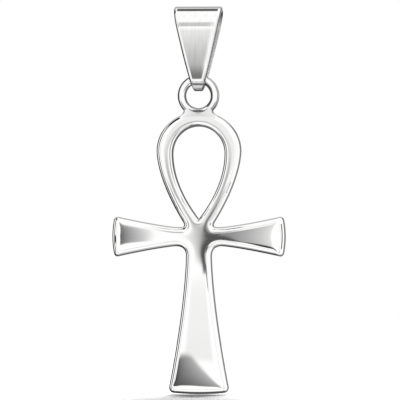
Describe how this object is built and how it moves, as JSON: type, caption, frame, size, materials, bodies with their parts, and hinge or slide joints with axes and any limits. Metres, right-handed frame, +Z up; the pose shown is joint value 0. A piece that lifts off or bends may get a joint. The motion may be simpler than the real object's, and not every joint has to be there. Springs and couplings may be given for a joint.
{
  "type": "ankh pendant",
  "caption": "Polished silver ankh with a domed front and flat back, hanging by its eye ring from a tapered strip bail that takes a neck chain.",
  "frame": {"origin": "the inside of the bail's top, where the chain bears", "axes": "+X to the right along the chain's way through the bail, +Z up, +Y towards the flat back; the domed front faces -Y"},
  "size_m": [0.0174, 0.0044, 0.0388],
  "materials": {
    "bail_silver": "mirror polished silver",
    "ankh_silver": "mirror polished silver"
  },
  "bodies": {
    "bail": {"bail": "bail_silver"},
    "ankh": {"ankh": "ankh_silver"}
  },
  "joints": [
    {"name": "ankh_swing", "type": "hinge", "parent": "bail", "child": "ankh", "pos_m": [0, 0, -0.00677], "axis": [1, 0, 0], "range_deg": [-90, 90]}
  ]
}
